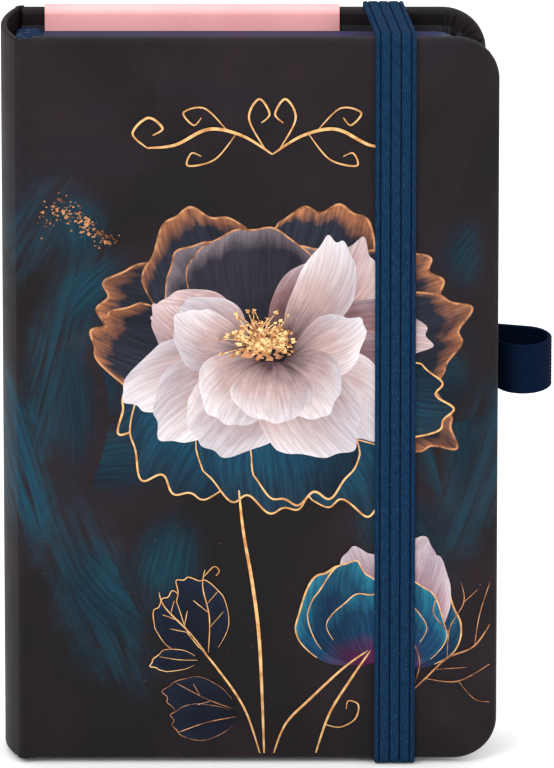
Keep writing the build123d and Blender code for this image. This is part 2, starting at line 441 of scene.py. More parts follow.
def makeFloor():
    mat, _, shader = newMaterial("paleFloor", floorSet["roughness"])
    shader.inputs["Base Color"].default_value = floorSet["tone"]
    wide = floorSet["half"]
    corners = [(-wide, -wide, 0), (wide, -wide, 0), (wide, wide, 0), (-wide, wide, 0)]
    floor = makePiece("floor", corners, [(0, 1, 2, 3)], None, [mat], smooth=False)


makeCamera()
makeLights()
makeFloor()
print("camera and light ready")

# Cover skin

skin = coverSkin()

coverSet = {
    "corner": 8.0 * mm,
    "edge": 1.0 * mm,
    "arcSteps": 64,
    "turnIn": 10.0 * mm,
    "groove": 0.30 * mm,
    "flange": 0.45 * mm,
    "pleats": (0.0, 0.10, 0.24, 0.36, 0.52, 0.66, 0.81, 0.93, 1.0),   # shares of the corner's arc
    "pleatDepth": 0.56 * mm,
    "pleatRise": 0.34 * mm,
    "jointEnd": 0.55 * mm,     # how much of the joint is left to the hinge strip
    "jointSteps": (0, 0.14, 0.28, 0.42, 0.56, 0.7, 0.85, 1.0),
    "boardSteps": (0.5 * mm, 1.2 * mm, 3.0 * mm),
    "narrowJoint": 1.5 * mm,     # a joint narrower than this has no groove
}


def coverOutline(x0, x1, boardStart, inset):
    corner = coverSet["corner"] - inset
    low, high = coverLow + inset, coverHigh - inset
    far = x1 - coverSet["corner"]
    xs = [x0 + (boardStart - x0) * t for t in coverSet["jointSteps"]]
    xs += [boardStart + step for step in coverSet["boardSteps"]]
    xs += [xs[-1] + (far - xs[-1]) * k / 8 for k in range(1, 8)]
    half = [(x, low, 0.0) for x in xs]
    steps = coverSet["arcSteps"]
    for k, turn in enumerate(quarter(steps)):
        half.append((far + corner * sin(turn), low + corner * (1 - cos(turn)), k / steps))
    return half + [(x, low + high - z, share) for x, z, share in reversed(half)]


def pleatRise(bend):
    folds = coverSet["pleats"]
    k = next(i for i in range(len(folds) - 1) if bend <= folds[i + 1])
    share = (bend - folds[k]) / (folds[k + 1] - folds[k])
    crest = 1 - 0.9 * share if share > 0.14 else share / 0.14 * 0.87
    depth = coverSet["pleatDepth"] * (0.65 + 0.35 * sin(k * 2.3))
    ends = smoothStep(bend / 0.05) * smoothStep((1 - bend) / 0.05)
    return (coverSet["pleatRise"] - depth * (1 - crest)) * ends


def makeCover(name, box, boardStart, body, nodeName, outward):
    x0, x1 = box[0][0] + coverSet["jointEnd"], box[1][0]
    outer = box[0][1] if outward < 0 else box[1][1]
    thick = box[1][1] - box[0][1]
    edge = coverSet["edge"]
    joint = max(boardStart - x0, 0.4 * mm)
    rings = [(edge * (1 - sin(turn)), edge * (1 - cos(turn))) for turn in quarter(5)]
    rings += [(edge * (1 - cos(turn)), thick - edge * (1 - sin(turn))) for turn in quarter(5)]
    rings += [(edge + 1.2 * mm, thick), (edge + 3.0 * mm, thick), (coverSet["turnIn"] * 0.75, thick)]
    verts, loops = [], []
    for inset, depth in rings:
        loop = []
        for x, z, bend in coverOutline(x0, x1, boardStart, min(inset, coverSet["corner"] - 0.4 * mm)):
            thin = smoothStep((x - boardStart + 0.7 * mm) / (0.9 * mm))
            share = coverSet["flange"] / thick * (1 - thin) + thin
            dip = coverSet["groove"] * sin(pi * min(1, max(0, (x - x0) / joint))) ** 2
            if joint < coverSet["narrowJoint"]:
                dip = 0
            down = depth * share + dip
            if 0 < bend < 1 and depth > thick * 0.5:
                down += pleatRise(bend) * smoothStep((depth / thick - 0.5) / 0.4)
            loop.append(len(verts))
            verts.append((x, outer - outward * down, z))
        loops.append(loop)
    count = len(loops[0])
    faces = []
    for first, second in zip(loops, loops[1:]):
        for k in range(count - 1):
            faces.append((first[k], first[k + 1], second[k + 1], second[k]))
    halfCount = count // 2
    face = loops[0]
    for k in range(halfCount - 1):
        faces.append((face[k], face[count - 1 - k], face[count - 2 - k], face[k + 1]))
    if outward < 0:
        faces = [f[::-1] for f in faces]
    makePiece(name, verts, faces, body, [skin], [nodeName], auto=50)


makeCover("frontCoverSkin", frontBox, boardFront[0][0], "front_cover", "front_wrap", -1)
makeCover("backCoverSkin", backBox, boardBack[0][0], "back_cover", "back_wrap", 1)

spineSet = {"arcSteps": 28, "thick": 1.15 * mm, "edge": 0.55 * mm, "stop": 0.75 * mm, "turnIn": 9.0 * mm}


def spineArc():
    bulge = spineBox[1][0] - spineBox[0][0]
    half = spineBox[1][1]
    radius = (half ** 2 + bulge ** 2) / (2 * bulge)
    return spineBox[0][0] + radius, radius, half


def spinePoint(y, depth):
    centre, radius, _ = spineArc()
    turn = math.asin(y / radius)
    return centre - (radius - depth) * cos(turn), (radius - depth) * sin(turn)


def makeSpine():
    _, _, half = spineArc()
    reach = half - spineSet["stop"]
    edge, thick = spineSet["edge"], spineSet["thick"]
    rows = [(spineSet["turnIn"], thick)]
    rows += [(edge * (1 - sin(turn)), thick - edge * (1 - cos(turn))) for turn in quarter(4)]
    rows += [(edge * (1 - cos(turn)), edge * (1 - sin(turn))) for turn in quarter(4)]
    path = [(coverLow + z, depth) for z, depth in rows]
    path += [(coverLow + (coverHigh - coverLow) * k / 6, 0.0) for k in range(1, 6)]
    path += [(coverHigh - z, depth) for z, depth in reversed(rows)]
    verts = []
    for z, depth in path:
        for k in range(spineSet["arcSteps"] + 1):
            y = -reach + 2 * reach * k / spineSet["arcSteps"]
            x, yy = spinePoint(y, depth)
            verts.append((x, yy, z))
    makePiece("spineSkin", verts, gridFaces(len(path), spineSet["arcSteps"] + 1, flip=True), "spine", [skin],
              ["spine_wrap"], auto=60)


hingeSet = {
    "thick": 0.42 * mm,
    "edge": 0.25 * mm,
    "steps": 12,
    "pull": 0.36,                # length of the curve's handles, as a share of the strip
    "tuck": 0.03 * mm,
    "underSpine": 0.8 * mm,
    "underCover": 1.2 * mm,
    "endRun": 6.0 * mm,
}


def hingeLine(side, coverStart):
    _, _, half = spineArc()
    reach = half - spineSet["stop"]
    start = Vector(spinePoint(side * reach, 0))
    ahead = (start - Vector(spinePoint(side * (reach - 0.3 * mm), 0))).normalized()
    end = Vector((coverStart, side * half))
    pull = (end - start).length * hingeSet["pull"]
    a, b = start + ahead * pull, end - Vector((pull, 0))
    line = []
    for k in range(-2, hingeSet["steps"] + 3):
        t = k / hingeSet["steps"]
        if t < 0:
            spot, slope = start + ahead * t * hingeSet["underSpine"], ahead
        elif t > 1:
            spot, slope = end + Vector(((t - 1) * hingeSet["underCover"], 0)), Vector((1, 0))
        else:
            spot = (1 - t) ** 3 * start + 3 * (1 - t) ** 2 * t * a + 3 * (1 - t) * t * t * b + t ** 3 * end
            slope = ((a - start) * (1 - t) ** 2 + (b - a) * 2 * t * (1 - t) + (end - b) * t * t).normalized()
        out = Vector((slope.y, -slope.x))
        line.append((spot, out if out.dot(Vector((-1, side))) >= 0 else -out))
    return line, start, end


def makeHingeStrip(name, side, coverStart):
    line, start, end = hingeLine(side, coverStart)
    edge = coverLow + hingeSet["edge"]
    inner = coverLow + hingeSet["endRun"]
    levels = [(inner, 1.0), (edge, 1.0), (coverLow, 0.6), (coverLow, 0.3), (edge, 0.0)]
    levels += [(coverLow + coverHigh - z, depth) for z, depth in reversed(levels)]
    verts = []
    for z, depth in levels:
        for k, (spot, out) in enumerate(line):
            tuck = hingeSet["tuck"] if k < 2 or k > hingeSet["steps"] + 2 else 0.0
            below = spot - out * (hingeSet["thick"] * depth + tuck)
            verts.append((below.x, below.y, z))
    piece = makePiece(name, verts, gridFaces(len(levels), len(line), flip=side > 0), None, [skin], auto=60)
    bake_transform(piece)


makeSpine()
makeHingeStrip("frontHingeSkin", -1, frontBox[0][0] + coverSet["jointEnd"])
makeHingeStrip("backHingeSkin", 1, backBox[0][0] + coverSet["jointEnd"])
print("cover skin made")

# Paper

pageSet = {
    "leaves": 8,
    "corner": 6.5 * mm,
    "arcSteps": 8,
    "gap": 0.03,
    "wobble": 0.02 * mm,
    "rule": 6.0 * mm,
    "fold": 0.35 * mm,
    "foldSteps": 8,
}
leafFace = paperLook("ruledPaper", colour(0.55, 0.515, 0.44), pageSet["rule"])
endPaper = paperLook("endPaper", colour(0.010, 0.010, 0.016))
edgePaint = paintedEdge()


def leafOutline(x0, x1, z0, z1, corner):
    turns = quarter(pageSet["arcSteps"])
    lower = [(x1 - corner + corner * sin(turn), z0 + corner * (1 - cos(turn))) for turn in turns]
    upper = [(x1 - corner + corner * cos(turn), z1 - corner + corner * sin(turn)) for turn in turns]
    return [(x0, z0)] + lower + upper + [(x0, z1)]


def makeSignature(index):
    name = f"signature_{index:02d}"
    low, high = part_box(name)
    dice = random.Random(100 + index)
    verts, faces, looks = [], [], []
    pitch = (high[1] - low[1]) / pageSet["leaves"]
    fold = pageSet["fold"]
    for k in range(pageSet["leaves"]):
        y0 = low[1] + k * pitch
        y1 = y0 + pitch * (1 - pageSet["gap"])
        short = dice.uniform(0, pageSet["wobble"])
        head = high[2] - dice.uniform(0, 1) * short
        outline = leafOutline(low[0] + fold, high[0] - short, low[2] + short, head, pageSet["corner"])
        n, first = len(outline), len(verts)
        verts += [(x, y0, z) for x, z in outline] + [(x, y1, z) for x, z in outline]
        faces += [tuple(range(first, first + n)), tuple(reversed(range(first + n, first + 2 * n)))]
        looks += [0, 0]
        for j in range(n):
            a, b = first + j, first + (j + 1) % n
            faces.append((a, a + n, b + n, b))
            looks.append(1)
    first, steps = len(verts), pageSet["foldSteps"]
    for k in range(steps + 1):
        turn = pi * k / steps
        x = low[0] + fold * (1 - sin(turn)) + 0.02 * mm
        y = (low[1] + high[1]) / 2 - (high[1] - low[1]) / 2 * cos(turn)
        verts += [(x, y, low[2] + 0.1 * mm), (x, y, high[2] - 0.1 * mm)]
    for k in range(steps):
        a = first + 2 * k
        faces.append((a, a + 1, a + 3, a + 2))
        looks.append(0)
    body = "turned_" + name if index <= 6 else "back_cover"
    makePiece(name.replace("_", "") + "Leaves", verts, faces, body, [leafFace, edgePaint], [name],
              faceMats=looks, smooth=False)


for index in range(1, 13):
    makeSignature(index)


def dress(nodeName, *mats):
    piece = frame["nodes"][nodeName]
    piece.data.materials.clear()
    for mat in mats:
        piece.data.materials.append(mat)


for nodeName in ("front_pastedown", "back_pastedown", "front_flyleaf", "back_flyleaf"):
    dress(nodeName, endPaper)


def boardLook():
    mat, tree, shader = newMaterial("greyBoard", 0.9)
    ply = noise(tree, scaled(tree, place(tree), (1.0, 9.0, 1.0)), 260.0, 4.0)
    tone = mixed(tree, ply, colour(0.20, 0.17, 0.14), colour(0.33, 0.29, 0.24))
    return finished(mat, tree, shader, tone, ply, 0.4, 0.00008)


greyBoard = boardLook()
for nodeName in ("front_board", "back_board", "spine_stiffener"):
    dress(nodeName, greyBoard)


liningSet = {"cols": 24, "rows": 16, "thread": 0.8 * mm, "foldReach": 0.6 * mm}


def liningLook():
    mat, tree, shader = newMaterial("liningCloth", 0.9)
    cut = cuts(tree, place(tree))
    turns = 2 * pi / liningSet["thread"]
    warp, weft = (sums(tree, "SINE", times(tree, cut[axis], turns)) for axis in (2, 1))
    weave = sums(tree, "MAXIMUM", warp, weft)
    # The tone follows the weave's height, lighter on the threads and darker between them: painted shade.
    tone = mixed(tree, grey(tree, weave, -0.2, 0.9), colour(0.33, 0.30, 0.25), colour(0.62, 0.58, 0.50))
    return finished(mat, tree, shader, tone, weave, 0.5, 0.0001)


def bendWithBlock(piece):
    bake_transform(piece)


def makeLining():
    low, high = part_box("spine_lining")
    cols, rows = liningSet["cols"], liningSet["rows"]
    verts = []
    for side in (low[0], high[0] - 0.05 * mm):
        for i in range(rows + 1):
            for j in range(cols + 1):
                y = low[1] + (high[1] - low[1]) * j / cols
                verts.append((side, y, low[2] + (high[2] - low[2]) * i / rows))
    half = (rows + 1) * (cols + 1)
    faces = gridFaces(rows + 1, cols + 1)
    faces += [tuple(v + half for v in reversed(f)) for f in faces]
    for j in range(cols):
        for i in (0, rows):
            a = i * (cols + 1) + j
            faces.append((a, a + 1, a + 1 + half, a + half) if i == 0 else (a, a + half, a + 1 + half, a + 1))
    for i in range(rows):
        for j in (0, cols):
            a = i * (cols + 1) + j
            b = a + cols + 1
            faces.append((a, a + half, b + half, b) if j == 0 else (a, b, b + half, a + half))
    piece = makePiece("liningCloth", verts, faces, None, [liningLook()], ["spine_lining"], smooth=False)
    bendWithBlock(piece)


makeLining()

bandSet = {
    "pitch": 0.62 * mm,
    "wide": 2.30 * mm,
    "tall": 0.80 * mm,
    "seat": 0.06,
    "ring": 24,
    "steps": 110,
    "fromFold": 0.9 * mm,
    "tabThick": 0.2 * mm,
}


def bandLook():
    mat, tree, shader = newMaterial("endBandThread", 0.7, Specular_IOR_Level=0.1)
    uv = node(tree, "UVMap", uv_map="weave").outputs[0]
    cut = cuts(tree, uv)
    turn = sums(tree, "FRACT", times(tree, cut[1], 0.5))
    fray = noise(tree, uv, 3.2, 3.0)
    pick = plus(tree, turn, times(tree, minus(tree, fray, 0.5), 1.5))
    tone = mixed(tree, grey(tree, pick, 0.95, 1.3), colour(0.003, 0.014, 0.045), colour(0.16, 0.24, 0.34))
    return finished(mat, tree, shader, tone, fray, 0.5, 0.00008)


bandThread = bandLook()


def makeEndBand(nodeName, blockEnd, outward):
    low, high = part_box(nodeName)
    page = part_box("signature_07")
    middleX = page[0][0] + bandSet["fromFold"]
    steps = bandSet["steps"]
    verts, uvs = [], []
    for i in range(steps + 1):
        y = low[1] + (high[1] - low[1]) * i / steps
        wound = 1 + 0.09 * cos(2 * pi * (y - low[1]) / bandSet["pitch"])
        cap = math.sqrt(max(0.02, 1 - max(0, abs(2 * i / steps - 1) - 0.94) / 0.06))
        for j in range(bandSet["ring"] + 1):
            turn = 2 * pi * j / bandSet["ring"]
            lean = 0.12 * mm * sin(turn)
            rise = bandSet["tall"] * (wound * cap * sin(turn) + bandSet["seat"])
            verts.append((middleX + bandSet["wide"] * wound * cap * cos(turn), y + lean,
                          blockEnd + outward * max(rise, 0.03 * mm)))
            uvs.append((2 * j / bandSet["ring"], (y - low[1]) / bandSet["pitch"]))
    faces = gridFaces(steps + 1, bandSet["ring"] + 1)
    first = len(verts)
    tabTop, tabEnd = blockEnd + outward * 0.6 * mm, (low[2] if outward > 0 else high[2])
    for x in (low[0], low[0] + bandSet["tabThick"]):
        for y in (low[1], high[1]):
            for z in (tabEnd, tabTop):
                verts.append((x, y, z))
                uvs.append(((z - tabEnd) / mm, (y - low[1]) / bandSet["pitch"]))
    for a, b, c, d in ((0, 1, 3, 2), (4, 6, 7, 5), (0, 4, 5, 1), (2, 3, 7, 6), (1, 5, 7, 3), (0, 2, 6, 4)):
        faces.append((first + a, first + b, first + c, first + d))
    piece = makePiece(nodeName.replace("_", "") + "Thread", verts, faces, None, [bandThread], [nodeName],
                      maps={"weave": uvs}, auto=50)
    bendWithBlock(piece)


makeEndBand("head_band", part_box("signature_07")[1][2], 1)
makeEndBand("tail_band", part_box("signature_07")[0][2], -1)
print("paper and bands made")

# Elastic closure

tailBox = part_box("elastic_tail_upper")
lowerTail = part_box("elastic_tail_lower")
elasticSet = {
    "thick": 0.9 * mm,
    "grooves": (0.123, 0.378, 0.625, 0.879),   # share of the width
    "grooveDepth": 0.22 * mm,
    "grooveWide": 0.15 * mm,
    "bend": 1.55 * mm,
    "step": 2.5 * mm,
    "pitch": 0.42 * mm,
    "slack": 0.05,
    "slotBend": 0.5 * mm,
}
elasticCloth = wovenTape("elasticCloth", (0.0006, 0.0040, 0.0130), (0.0090, 0.038, 0.094),
                         elasticSet["pitch"], (0.05, 0.13, 0.23), (1.0, 0.16, 1.0))
# A darker copy of the elastic cloth for the grooves: painted shade in the grooves.
grooveShadeCloth = wovenTape("grooveShadeCloth", (0.0006, 0.0022, 0.0085), (0.0022, 0.0085, 0.028),
                        elasticSet["pitch"], (0.01, 0.03, 0.06), (1.0, 0.16, 1.0))


def arcPoints(cy, cz, radius, first, last, steps):
    points = []
    for k in range(steps + 1):
        turn = radians(first + (last - first) * k / steps)
        points.append((cy + radius * cos(turn), cz + radius * sin(turn)))
    return points


def straight(start, end, step):
    count = max(1, round((Vector(end) - Vector(start)).length / step))
    return [tuple(Vector(start).lerp(Vector(end), k / count)) for k in range(1, count)]


def elasticPath():
    half, bend, tight = elasticSet["thick"] / 2, elasticSet["bend"], elasticSet["slotBend"]
    y = elasticBox[1][1] - half
    low, high = elasticBox[0][2] + half, elasticBox[1][2] - half
    slotLow, slotHigh = lowerTail[0][2] + half, tailBox[1][2] - half
    inSlot = backBox[1][1] - 0.1 * mm
    path = [(inSlot, slotLow), (y - tight, slotLow)]
    path += arcPoints(y - tight, slotLow - tight, tight, 90, 0, 5)[1:]
    front, back, bottom, top = bend - y, y - bend, low + bend, high - bend
    for k, (cy, cz) in enumerate(((back, bottom), (front, bottom), (front, top), (back, top))):
        arc = arcPoints(cy, cz, bend, -90 * k, -90 * k - 90, 9)
        path += straight(path[-1], arc[0], elasticSet["step"]) + arc
    path += straight(path[-1], (y, slotHigh + tight), elasticSet["step"])
    return path + arcPoints(y - tight, slotHigh + tight, tight, 0, -90, 5) + [(inSlot, slotHigh)]


def tapeSection(width, thick, ribs, count):
    points = []
    for k in range(count + 1):
        share = k / count
        edge = min(share, 1 - share) * width
        drop = thick * 0.34 * max(0.0, 1 - edge / (0.32 * mm)) ** 2
        points.append(((share - 0.5) * width, thick / 2 - drop - ribs(share)))
    for k in range(9):
        share = 1 - k / 8
        edge = min(share, 1 - share) * width
        points.append(((share - 0.5) * width, -thick / 2 + thick * 0.1 * (edge < 0.01 * mm)))
    return points


def elasticRibs(share):
    width = tailBox[1][0] - tailBox[0][0]
    dip = 0.0
    for groove in elasticSet["grooves"]:
        away = (share - groove) * width / elasticSet["grooveWide"]
        dip = max(dip, math.exp(-away * away))
    return elasticSet["grooveDepth"] * dip


def makeElastic():
    width = tailBox[1][0] - tailBox[0][0]
    backX = (tailBox[0][0] + tailBox[1][0]) / 2
    frontX = elasticBox[1][0] - width / 2
    path = elasticPath()
    section = tapeSection(width, elasticSet["thick"], elasticRibs, 84)
    reach = elasticBox[1][1] - 2.0 * mm
    verts, uvs = [], []
    run = 0.0
    for k, (y, z) in enumerate(path):
        out = normalAt(path, k)
        if k:
            run += (Vector(path[k]) - Vector(path[k - 1])).length
        share = min(1, max(0, (y + reach) / (2 * reach)))
        middle = frontX + (backX - frontX) * share
        for across, high in section:
            spot = Vector((y, z)) + out * high
            verts.append((middle + across, spot.x, spot.y))
            uvs.append((across / elasticSet["pitch"], run / elasticSet["pitch"]))
    n = len(section)
    faces = sweptFaces(len(path), n)
    # Faces in the grooves on the outer side take the darker groove cloth, which is painted shade.
    looks = []
    for face in faces:
        share = sum(section[v % n][0] for v in face) / len(face) / width + 0.5
        front = all(section[v % n][1] > 0 for v in face)
        looks.append(int(front and elasticRibs(share) > 0.45 * elasticSet["grooveDepth"]))
    piece = makePiece("elasticBand", verts, faces, "elastic", [elasticCloth, grooveShadeCloth], ["elastic_band"],
                      maps={"weave": uvs}, faceMats=looks, auto=60)
    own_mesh(piece)


makeElastic()
dress("elastic_tail_upper", elasticCloth)
dress("elastic_tail_lower", elasticCloth)


lipSet = {
    "steps": 32,
    "clear": 0.15 * mm,
    "square": (0.25, 0.35),   # lower is squarer, across and up
    "rings": ((0.0, -0.25 * mm), (0.05 * mm, 0.04 * mm), (0.35 * mm, 0.09 * mm), (0.8 * mm, -0.02 * mm)),
}


def makeSlotLip(name, box, z):
    wide = (box[1][0] - box[0][0]) / 2 + lipSet["clear"]
    middle = (box[0][0] + box[1][0]) / 2
    tall = elasticSet["thick"] / 2 + lipSet["clear"]
    steps, count = lipSet["steps"], len(lipSet["rings"])
    verts = []
    for grow, high in lipSet["rings"]:
        for k in range(steps):
            turn = 2 * pi * (k + 0.5) / steps
            cx, cz = cos(turn), sin(turn)
            x = math.copysign(abs(cx) ** lipSet["square"][0], cx) * (wide + grow)
            zz = math.copysign(abs(cz) ** lipSet["square"][1], cz) * (tall + grow)
            verts.append((middle + x, backBox[1][1] + high, z + zz))
    faces = [face[::-1] for face in sweptFaces(count, steps)[:-2]]
    makePiece(name, verts, faces, "back_cover", [skin])


makeSlotLip("upperSlotLip", tailBox, tailBox[1][2] - elasticSet["thick"] / 2)
makeSlotLip("lowerSlotLip", lowerTail, lowerTail[0][2] + elasticSet["thick"] / 2)

# Pen loop

loopSet = {
    "ribs": 13,
    "ribSteps": 8,
    "ribDepth": 0.13 * mm,
    "edgeDrop": 0.3,   # share of the thickness lost at the edges
    "edgeRound": 0.3 * mm,
    "pitch": 0.36 * mm,
    "layer": 0.56 * mm,
    "steps": 56,
    "tip": 0.6 * mm,
    "tabSteps": (2.5 * mm, 1.0 * mm),
    "spread": (0.15, 0.4, 0.7),
}
loopCloth = wovenTape("loopCloth", (0.0002, 0.0008, 0.0034), (0.0022, 0.0105, 0.0360), loopSet["pitch"],
                      (0.010, 0.028, 0.065), (0.14, 1.0, 1.0))


def loopTab(tip, side, tabStart, touch, wall):
    layer = loopSet["layer"]
    height = tip.y + side * layer / 2
    tab = [(Vector((x, height)), layer) for x in [tabStart] + [tip.x - step for step in loopSet["tabSteps"]]]
    for t in loopSet["spread"]:
        tab.append((Vector((tip.x, height)).lerp(touch, t), layer + (wall - layer) * t))
    return tab


def loopPath():
    low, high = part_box("pen_loop")
    mount = next(m for m in frame["record"]["mounts"] if m["name"] == "pen_loop")
    centre = Vector(mount["pos_m"][:2])
    bore = mount["dims"]["r_mm"] * mm
    wall = high[0] - centre.x - bore
    radius = bore + wall / 2
    tip = Vector((backBox[1][0] + loopSet["tip"], high[1] - loopSet["tip"]))
    toward = tip - centre
    opening = math.acos(radius / toward.length)
    end = math.atan2(toward.y, toward.x) - opening
    circle = []
    for k in range(loopSet["steps"] + 1):
        turn = end - (2 * pi - 2 * opening) * k / loopSet["steps"]
        circle.append((centre + radius * Vector((cos(turn), sin(turn))), wall))
    upper = loopTab(tip, 1, low[0], circle[0][0], wall)
    lower = loopTab(tip, -1, low[0], circle[-1][0], wall)
    return upper + circle + lower[::-1], low[2], high[2]


def makeLoop():
    path, z0, z1 = loopPath()
    spots = [spot for spot, _ in path]
    count = loopSet["ribs"] * loopSet["ribSteps"]
    verts, uvs = [], []
    run = 0.0
    for k, (spot, thick) in enumerate(path):
        out = normalAt(spots, k)
        if k:
            run += (spot - spots[k - 1]).length
        ring = []
        for side in (1, -1):
            for j in range(count + 1):
                share = j / count if side > 0 else 1 - j / count
                edge = min(share, 1 - share) * (z1 - z0)
                drop = thick * loopSet["edgeDrop"] * max(0.0, 1 - edge / loopSet["edgeRound"]) ** 2
                rib = loopSet["ribDepth"] * (0.5 - 0.5 * cos(2 * pi * loopSet["ribs"] * share))
                ring.append((share, side * (thick / 2 - drop - loopSet["ribDepth"] + rib)))
        for share, high in ring:
            at = spot + out * high
            verts.append((at.x, at.y, z0 + (z1 - z0) * share))
            uvs.append((run / loopSet["pitch"], share * (z1 - z0) / loopSet["pitch"]))
    faces = sweptFaces(len(path), 2 * (count + 1))
    makePiece("penLoop", verts, faces, "back_cover", [loopCloth], ["pen_loop"], maps={"weave": uvs}, auto=60)


makeLoop()


def cardLook():
    mat, tree, shader = newMaterial("pinkCard", 0.62)
    spot = place(tree)
    fibre = noise(tree, spot, 1200.0, 4.0)
    mottle = noise(tree, spot, 70.0, 3.0)
    tone = mixed(tree, grey(tree, mottle, 0.35, 0.65), colour(0.82, 0.37, 0.375), colour(0.86, 0.415, 0.415))
    pale = times(tree, grey(tree, fibre, 0.55, 0.75), 0.35)
    tone = mixed(tree, pale, tone, colour(0.88, 0.52, 0.52))
    return finished(mat, tree, shader, tone, fibre, 0.2, 0.00003)


cardSet = {
    "thick": 0.35 * mm,
    "bend": 1.0 * mm,
    "bendSteps": 8,
    "step": 4.0 * mm,
    "cols": 12,
    "innerEnd": 127.0 * mm,
    "edge": 0.08 * mm,
    "edgeThin": 0.75,
}


def makeCard():
    low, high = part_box("info_card")
    half, bend = cardSet["thick"] / 2, cardSet["bend"] + cardSet["thick"] / 2
    innerEnd, outerEnd, edge = cardSet["innerEnd"], low[2], cardSet["edge"]
    y0, y1, top = low[1] + half, high[1] - half, high[2] - half
    path = [(y0, innerEnd)] + straight((y0, innerEnd), (y0, top - bend), cardSet["step"])
    path += arcPoints(y0 + bend, top - bend, bend, 180, 90, cardSet["bendSteps"])
    path += arcPoints(y1 - bend, top - bend, bend, 90, 0, cardSet["bendSteps"])
    path += straight((y1, top - bend), (y1, outerEnd), cardSet["step"]) + [(y1, outerEnd)]
    cols = cardSet["cols"]
    across = [low[0], low[0] + edge] + [low[0] + (high[0] - low[0]) * k / cols for k in range(1, cols)]
    across += [high[0] - edge, high[0]]
    verts = []
    for k, (y, z) in enumerate(path):
        out = normalAt(path, k)
        for side in (1, -1):
            for x in across if side > 0 else reversed(across):
                thin = cardSet["edgeThin"] if x in (low[0], high[0]) else 1.0
                spot = Vector((y, z)) + out * side * half * thin
                verts.append((x, spot.x, spot.y))
    faces = sweptFaces(len(path), 2 * len(across))
    makePiece("pinkCard", verts, faces, "card", [cardLook()], ["info_card"], auto=50)


makeCard()
print("elastic, loop and card made")

# Printed and foiled picture on the front

artSet = {
    "layer": 0.003 * mm,
    "margin": 1.3 * mm,
    "rows": 16,
    "cols": 36,
    "raise": 0.035 * mm,
    "rimRaise": 0.001 * mm,
    "dotSides": 7,
    "dotFlat": 0.8,
    "rimSteps": (9, 60),   # up each side, round the end
}
artLevel = [1]


def onCover(x, z, lift=0.0):
    low, high = boardFront[0][0] + 0.6 * mm, foreEdge - artSet["margin"]
    x = min(high, max(low, x * mm))
    z = min(coverHigh - artSet["margin"], max(coverLow + artSet["margin"], z * mm))
    return (x, faceY - artSet["layer"] * artLevel[0] - lift, z)


def petalPoint(petal, u, v):
    x, z, angle, length, width, roundness, ruffle, seed, bend = petal
    wave = 0.55 * sin(5.0 * u + seed * 1.7) + 0.45 * sin(11.0 * u + seed * 2.9)
    reach = length * v * (1 - roundness * u * u) * (1 + ruffle * wave * v * v)
    full = 0.20 + 0.80 * sin(pi * 0.60 * v ** 0.85)
    swell = 1 + 0.5 * ruffle * sin(9.0 * v + seed)
    side = width * u * full * swell
    turn = radians(angle + bend * (reach / length) ** 2)
    ahead = (cos(turn), sin(turn))
    return x + reach * ahead[0] - side * ahead[1], z + reach * ahead[1] + side * ahead[0]


def inside(x, z):
    margin = artSet["margin"]
    onWidth = boardFront[0][0] < x * mm < foreEdge - margin
    return onWidth and coverLow + margin < z * mm < coverHigh - margin


def signedArea(points):
    return sum(a[0] * b[1] - b[0] * a[1] for a, b in zip(points, points[1:] + points[:1]))


def petals(name, mat, shapes, rimMat=None, rimWide=0.0, low=0.5):
    verts, faces, own, vary = [], [], [], []
    rimVerts, rimFaces = [], []
    rows, cols = artSet["rows"], artSet["cols"]
    for petal in shapes:
        artLevel[0] += 1
        first = len(verts)
        shift = (sin(petal[7] * 12.9) * 0.5 + 0.5, sin(petal[7] * 78.2) * 3)
        flat = []
        for i in range(rows + 1):
            for j in range(cols + 1):
                u, v = 2 * j / cols - 1, i / rows
                flat.append(petalPoint(petal, u, v))
                verts.append(onCover(*flat[-1]))
                own.append((0.5 + u / 2, v))
                vary.append(shift)
        held = [inside(*spot) for spot in flat]
        for face in gridFaces(rows + 1, cols + 1):
            if not any(held[k] for k in face):
                continue
            turned = signedArea([flat[k] for k in face])
            if abs(turned) > 1e-5:
                faces.append(tuple(first + k for k in (face if turned > 0 else face[::-1])))
        if rimMat:
            artLevel[0] += 0.5
            side = 1 - low
            up, ends = artSet["rimSteps"]
            line = [petalPoint(petal, -1, low + side * k / up) for k in range(up)]
            line += [petalPoint(petal, 2 * k / ends - 1, 1.0) for k in range(ends + 1)]
            line += [petalPoint(petal, 1, 1 - side * k / up) for k in range(1, up + 1)]
            foilStrip(rimVerts, rimFaces, line, rimWide * (0.8 + 0.4 * shift[0]), artSet["rimRaise"])
    makePiece(name, verts, faces, "front_cover", [mat], maps={"petal": own, "vary": vary}, smooth=False)
    if rimMat:
        makePiece(name.replace("Petals", "Rims"), rimVerts, rimFaces, "front_cover", [rimMat], smooth=False)


def foilStrip(verts, faces, line, width, crest, taper=0.35):
    first = len(verts)
    count = len(line)
    for k, (x, z) in enumerate(line):
        before, after = line[max(0, k - 1)], line[min(count - 1, k + 1)]
        dx, dz = after[0] - before[0], after[1] - before[1]
        size = math.hypot(dx, dz) or 1.0
        t = k / max(1, count - 1)
        thick = width / mm / 2 * (taper + (1 - taper) * sin(pi * t) ** 0.6)
        nx, nz = -dz / size * thick, dx / size * thick
        verts.append(onCover(x + nx, z + nz))
        verts.append(onCover(x, z, crest))
        verts.append(onCover(x - nx, z - nz))
    for k in range(count - 1):
        if inside(*line[k]) or inside(*line[k + 1]):
            a = first + 3 * k
            faces.append((a, a + 3, a + 4, a + 1))
            faces.append((a + 1, a + 4, a + 5, a + 2))


def between(a, b, c, d, t):
    ease = 2 * b + (c - a) * t + (2 * a - 5 * b + 4 * c - d) * t * t + (3 * b - a - 3 * c + d) * t ** 3
    return 0.5 * ease


